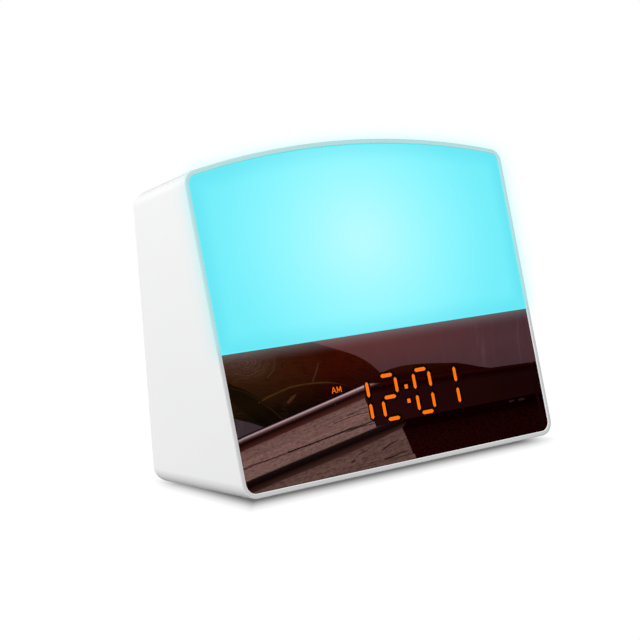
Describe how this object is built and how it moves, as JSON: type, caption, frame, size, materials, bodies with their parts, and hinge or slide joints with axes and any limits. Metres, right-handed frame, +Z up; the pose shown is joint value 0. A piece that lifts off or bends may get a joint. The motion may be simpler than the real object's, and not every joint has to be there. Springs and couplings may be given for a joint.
{
  "type": "sunrise alarm clock",
  "caption": "Bedside clock with a leaning arched front: a lit sunrise diffuser above a dark mirror with a numeric display; rear keys, speaker, backup cells and power inlet.",
  "frame": {"origin": "centre of the bounding box on the supporting surface, under the feet", "axes": "+X to the right seen from the front, +Y to the back, +Z up; the front faces -Y and leans back 12.5 degrees"},
  "size_m": [0.1656, 0.0674, 0.1363],
  "materials": {
    "white_housing": "white moulded ABS with a fine satin grain",
    "opal_diffuser": "opal acrylic, lit from behind in cyan",
    "dark_mirror": "dark one-way mirror acrylic, polished",
    "adhesive": "black acrylic foam tape",
    "reflector_white": "white high-reflectance polystyrene",
    "board_white": "white solder mask",
    "led_package": "moulded LED packages with yellow phosphor",
    "screw_steel": "zinc-plated steel",
    "black_carrier": "black light-tight ABS",
    "display_black": "black display face",
    "lit_orange": "glowing orange light bars",
    "unlit_bar": "unlit light bars",
    "board_green": "green solder mask on glass-fibre board",
    "ribbon_grey": "grey flat ribbon cable",
    "wire_red": "red PVC wire insulation",
    "socket_ivory": "ivory nylon board sockets",
    "chip_black": "black moulded packages",
    "capacitor_sleeve": "dark blue sleeved cans",
    "button_white": "off-white satin key caps",
    "speaker_basket_black": "black painted pressed steel",
    "speaker_paper": "black paper cone",
    "magnet_steel": "zinc-plated magnet pot",
    "cell_jacket": "plain shrink-wrapped metal cans",
    "jack_black": "black moulded jack body",
    "foot_rubber": "grey silicone rubber"
  },
  "bodies": {
    "clock": {"housing_shell": "white_housing", "rear_cover": "white_housing", "light_diffuser": "opal_diffuser", "mirror_lens": "dark_mirror", "panel_adhesive": "adhesive", "light_chamber": "reflector_white", "led_board": "board_white", "led_chips": "led_package", "led_board_screws": "screw_steel", "carrier_screws": "screw_steel", "display_frame": "black_carrier", "display_block": "display_black", "digit_bars_lit": "lit_orange", "digit_bars_unlit": "unlit_bar", "am_indicator": "lit_orange", "display_board": "board_green", "display_board_screws": "screw_steel", "display_ribbon": "ribbon_grey", "led_ribbon": "ribbon_grey", "main_board": "board_green", "processor_chip": "chip_black", "board_chips": "chip_black", "capacitors": "capacitor_sleeve", "board_sockets": "socket_ivory", "main_board_screws": "screw_steel", "button_ribbon": "ribbon_grey", "snooze_wires": "wire_red", "speaker_wires": "wire_red", "battery_wires": "wire_red", "button_board": "board_green", "rear_switches": "chip_black", "button_board_screws": "screw_steel", "snooze_board": "board_green", "snooze_switch": "chip_black", "snooze_board_screws": "screw_steel", "speaker_basket": "speaker_basket_black", "speaker_cone": "speaker_paper", "speaker_magnet": "magnet_steel", "speaker_screws": "screw_steel", "backup_cells": "cell_jacket", "cell_springs": "screw_steel", "cell_contacts": "screw_steel", "power_jack": "jack_black", "power_jack_pin": "screw_steel", "cover_screws": "screw_steel", "rubber_feet": "foot_rubber"},
    "set_button": {"set_button": "button_white"},
    "alarm_button": {"alarm_button": "button_white"},
    "light_button": {"light_button": "button_white"},
    "sound_button": {"sound_button": "button_white"},
    "minus_button": {"minus_button": "button_white"},
    "plus_button": {"plus_button": "button_white"},
    "snooze_bar": {"snooze_bar": "button_white"},
    "battery_door": {"battery_door": "white_housing"}
  },
  "joints": [
    {"name": "snooze_press", "type": "slide", "parent": "clock", "child": "snooze_bar", "axis": [0, -0.2164, -0.9763], "range_m": [0, 0.0008], "stiffness_N_per_m": 300, "springref_m": -0.0008},
    {"name": "set_press", "type": "slide", "parent": "clock", "child": "set_button", "axis": [0, -1, 0], "range_m": [0, 0.0008], "stiffness_N_per_m": 200, "springref_m": -0.0008},
    {"name": "alarm_press", "type": "slide", "parent": "clock", "child": "alarm_button", "axis": [0, -1, 0], "range_m": [0, 0.0008], "stiffness_N_per_m": 200, "springref_m": -0.0008},
    {"name": "light_press", "type": "slide", "parent": "clock", "child": "light_button", "axis": [0, -1, 0], "range_m": [0, 0.0008], "stiffness_N_per_m": 200, "springref_m": -0.0008},
    {"name": "sound_press", "type": "slide", "parent": "clock", "child": "sound_button", "axis": [0, -1, 0], "range_m": [0, 0.0008], "stiffness_N_per_m": 200, "springref_m": -0.0008},
    {"name": "minus_press", "type": "slide", "parent": "clock", "child": "minus_button", "axis": [0, -1, 0], "range_m": [0, 0.0008], "stiffness_N_per_m": 200, "springref_m": -0.0008},
    {"name": "plus_press", "type": "slide", "parent": "clock", "child": "plus_button", "axis": [0, -1, 0], "range_m": [0, 0.0008], "stiffness_N_per_m": 200, "springref_m": -0.0008},
    {"name": "door_hinge", "type": "hinge", "parent": "clock", "child": "battery_door", "pos_m": [0.0326, 0.0325, 0.0422], "axis": [-1, 0, 0], "range_deg": [0, 90]}
  ]
}
